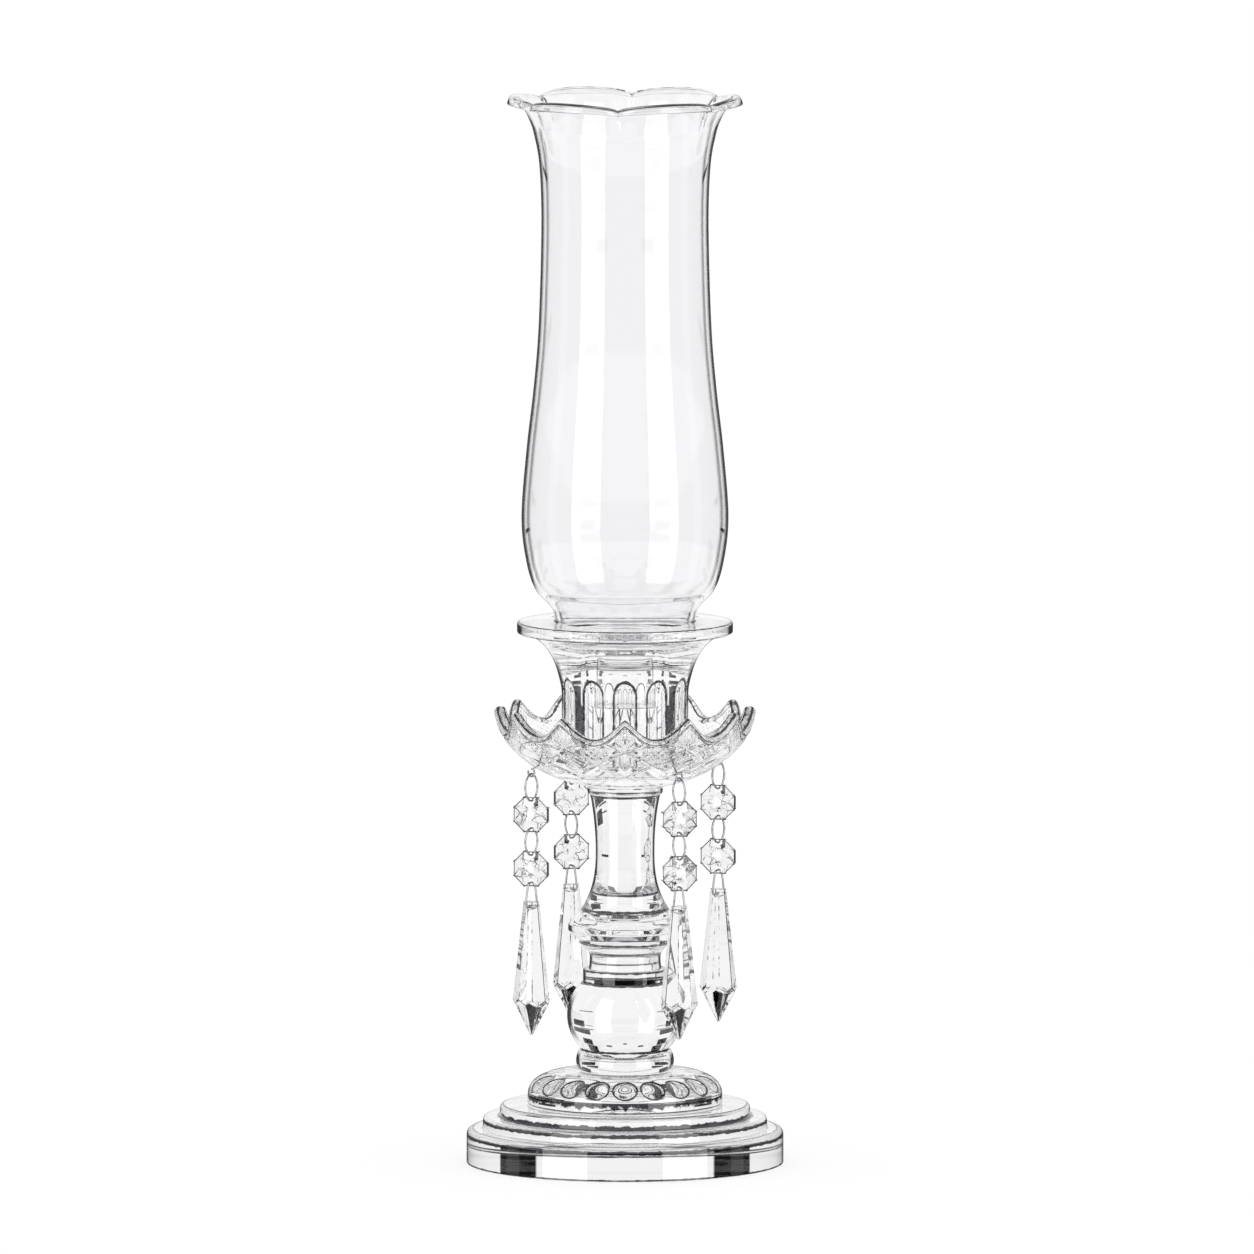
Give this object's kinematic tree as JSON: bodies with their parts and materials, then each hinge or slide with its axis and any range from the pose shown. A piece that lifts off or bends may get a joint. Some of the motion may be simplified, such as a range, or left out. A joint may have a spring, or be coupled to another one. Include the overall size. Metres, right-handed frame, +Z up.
{
  "type": "hurricane candle holder",
  "caption": "Cut glass candle holder with a round stepped foot, a scalloped drip dish hung with prism chains, and a tall lift-off glass shade.",
  "frame": {"origin": "centre of the foot's underside", "axes": "+Z up along the axis that every turned piece shares; -Y is the side shown in the picture, +X is its right"},
  "size_m": [0.127, 0.127, 0.4308],
  "materials": {
    "cut_crystal": "clear pressed and cut glass, fire polished",
    "shade_glass": "clear blown glass, smooth",
    "wire": "bright plated wire"
  },
  "bodies": {
    "holder": {"stepped_foot": "cut_crystal", "petal_dome": "cut_crystal", "stem_collar": "cut_crystal", "stem_ball": "cut_crystal", "stem_spool": "cut_crystal", "stem_knop": "cut_crystal", "stem_column": "cut_crystal", "drip_dish": "cut_crystal", "candle_socket": "cut_crystal", "pin_front_left": "wire", "pin_front_right": "wire", "pin_back_right": "wire", "pin_back_left": "wire"},
    "shade": {"hurricane_shade": "shade_glass"},
    "upper_ring_front_left": {"upper_ring_front_left": "wire"},
    "upper_bead_front_left": {"upper_bead_front_left": "cut_crystal"},
    "lower_ring_front_left": {"lower_ring_front_left": "wire"},
    "lower_bead_front_left": {"lower_bead_front_left": "cut_crystal"},
    "bail_front_left": {"bail_front_left": "wire"},
    "prism_front_left": {"prism_front_left": "cut_crystal"},
    "upper_ring_front_right": {"upper_ring_front_right": "wire"},
    "upper_bead_front_right": {"upper_bead_front_right": "cut_crystal"},
    "lower_ring_front_right": {"lower_ring_front_right": "wire"},
    "lower_bead_front_right": {"lower_bead_front_right": "cut_crystal"},
    "bail_front_right": {"bail_front_right": "wire"},
    "prism_front_right": {"prism_front_right": "cut_crystal"},
    "upper_ring_back_right": {"upper_ring_back_right": "wire"},
    "upper_bead_back_right": {"upper_bead_back_right": "cut_crystal"},
    "lower_ring_back_right": {"lower_ring_back_right": "wire"},
    "lower_bead_back_right": {"lower_bead_back_right": "cut_crystal"},
    "bail_back_right": {"bail_back_right": "wire"},
    "prism_back_right": {"prism_back_right": "cut_crystal"},
    "upper_ring_back_left": {"upper_ring_back_left": "wire"},
    "upper_bead_back_left": {"upper_bead_back_left": "cut_crystal"},
    "lower_ring_back_left": {"lower_ring_back_left": "wire"},
    "lower_bead_back_left": {"lower_bead_back_left": "cut_crystal"},
    "bail_back_left": {"bail_back_left": "wire"},
    "prism_back_left": {"prism_back_left": "cut_crystal"}
  },
  "joints": [
    {"name": "shade_lift", "type": "slide", "parent": "holder", "child": "shade", "axis": [0, 0, 1], "range_m": [0, 0.15]},
    {"name": "upper_ring_front_left_swing", "type": "hinge", "parent": "holder", "child": "upper_ring_front_left", "pos_m": [-0.03741, -0.0216, 0.158], "axis": [-0.8192, 0.5736, 0], "range_deg": [-8, 35]},
    {"name": "upper_bead_front_left_swing", "type": "hinge", "parent": "upper_ring_front_left", "child": "upper_bead_front_left", "pos_m": [-0.03741, -0.0216, 0.1482], "axis": [-0.5736, -0.8192, 0], "range_deg": [-30, 30]},
    {"name": "lower_ring_front_left_swing", "type": "hinge", "parent": "upper_bead_front_left", "child": "lower_ring_front_left", "pos_m": [-0.03741, -0.0216, 0.1373], "axis": [0.5736, 0.8192, 0], "range_deg": [-30, 30]},
    {"name": "lower_bead_front_left_swing", "type": "hinge", "parent": "lower_ring_front_left", "child": "lower_bead_front_left", "pos_m": [-0.03741, -0.0216, 0.1264], "axis": [-0.5736, -0.8192, 0], "range_deg": [-30, 30]},
    {"name": "bail_front_left_swing", "type": "hinge", "parent": "lower_bead_front_left", "child": "bail_front_left", "pos_m": [-0.03741, -0.0216, 0.1155], "axis": [0.5736, 0.8192, 0], "range_deg": [-30, 30]},
    {"name": "prism_front_left_swing", "type": "hinge", "parent": "bail_front_left", "child": "prism_front_left", "pos_m": [-0.03741, -0.0216, 0.1057], "axis": [-0.5736, -0.8192, 0], "range_deg": [-30, 30]},
    {"name": "upper_ring_front_right_swing", "type": "hinge", "parent": "holder", "child": "upper_ring_front_right", "pos_m": [0.0216, -0.03741, 0.158], "axis": [-0.8192, -0.5736, 0], "range_deg": [-8, 35]},
    {"name": "upper_bead_front_right_swing", "type": "hinge", "parent": "upper_ring_front_right", "child": "upper_bead_front_right", "pos_m": [0.0216, -0.03741, 0.1482], "axis": [0.5736, -0.8192, 0], "range_deg": [-30, 30]},
    {"name": "lower_ring_front_right_swing", "type": "hinge", "parent": "upper_bead_front_right", "child": "lower_ring_front_right", "pos_m": [0.0216, -0.03741, 0.1373], "axis": [-0.5736, 0.8192, 0], "range_deg": [-30, 30]},
    {"name": "lower_bead_front_right_swing", "type": "hinge", "parent": "lower_ring_front_right", "child": "lower_bead_front_right", "pos_m": [0.0216, -0.03741, 0.1264], "axis": [0.5736, -0.8192, 0], "range_deg": [-30, 30]},
    {"name": "bail_front_right_swing", "type": "hinge", "parent": "lower_bead_front_right", "child": "bail_front_right", "pos_m": [0.0216, -0.03741, 0.1155], "axis": [-0.5736, 0.8192, 0], "range_deg": [-30, 30]},
    {"name": "prism_front_right_swing", "type": "hinge", "parent": "bail_front_right", "child": "prism_front_right", "pos_m": [0.0216, -0.03741, 0.1057], "axis": [0.5736, -0.8192, 0], "range_deg": [-30, 30]},
    {"name": "upper_ring_back_right_swing", "type": "hinge", "parent": "holder", "child": "upper_ring_back_right", "pos_m": [0.03741, 0.0216, 0.158], "axis": [0.8192, -0.5736, 0], "range_deg": [-8, 35]},
    {"name": "upper_bead_back_right_swing", "type": "hinge", "parent": "upper_ring_back_right", "child": "upper_bead_back_right", "pos_m": [0.03741, 0.0216, 0.1482], "axis": [-0.5736, -0.8192, 0], "range_deg": [-30, 30]},
    {"name": "lower_ring_back_right_swing", "type": "hinge", "parent": "upper_bead_back_right", "child": "lower_ring_back_right", "pos_m": [0.03741, 0.0216, 0.1373], "axis": [0.5736, 0.8192, 0], "range_deg": [-30, 30]},
    {"name": "lower_bead_back_right_swing", "type": "hinge", "parent": "lower_ring_back_right", "child": "lower_bead_back_right", "pos_m": [0.03741, 0.0216, 0.1264], "axis": [-0.5736, -0.8192, 0], "range_deg": [-30, 30]},
    {"name": "bail_back_right_swing", "type": "hinge", "parent": "lower_bead_back_right", "child": "bail_back_right", "pos_m": [0.03741, 0.0216, 0.1155], "axis": [0.5736, 0.8192, 0], "range_deg": [-30, 30]},
    {"name": "prism_back_right_swing", "type": "hinge", "parent": "bail_back_right", "child": "prism_back_right", "pos_m": [0.03741, 0.0216, 0.1057], "axis": [-0.5736, -0.8192, 0], "range_deg": [-30, 30]},
    {"name": "upper_ring_back_left_swing", "type": "hinge", "parent": "holder", "child": "upper_ring_back_left", "pos_m": [-0.0216, 0.03741, 0.158], "axis": [0.8192, 0.5736, 0], "range_deg": [-8, 35]},
    {"name": "upper_bead_back_left_swing", "type": "hinge", "parent": "upper_ring_back_left", "child": "upper_bead_back_left", "pos_m": [-0.0216, 0.03741, 0.1482], "axis": [0.5736, -0.8192, 0], "range_deg": [-30, 30]},
    {"name": "lower_ring_back_left_swing", "type": "hinge", "parent": "upper_bead_back_left", "child": "lower_ring_back_left", "pos_m": [-0.0216, 0.03741, 0.1373], "axis": [-0.5736, 0.8192, 0], "range_deg": [-30, 30]},
    {"name": "lower_bead_back_left_swing", "type": "hinge", "parent": "lower_ring_back_left", "child": "lower_bead_back_left", "pos_m": [-0.0216, 0.03741, 0.1264], "axis": [0.5736, -0.8192, 0], "range_deg": [-30, 30]},
    {"name": "bail_back_left_swing", "type": "hinge", "parent": "lower_bead_back_left", "child": "bail_back_left", "pos_m": [-0.0216, 0.03741, 0.1155], "axis": [-0.5736, 0.8192, 0], "range_deg": [-30, 30]},
    {"name": "prism_back_left_swing", "type": "hinge", "parent": "bail_back_left", "child": "prism_back_left", "pos_m": [-0.0216, 0.03741, 0.1057], "axis": [0.5736, -0.8192, 0], "range_deg": [-30, 30]}
  ]
}
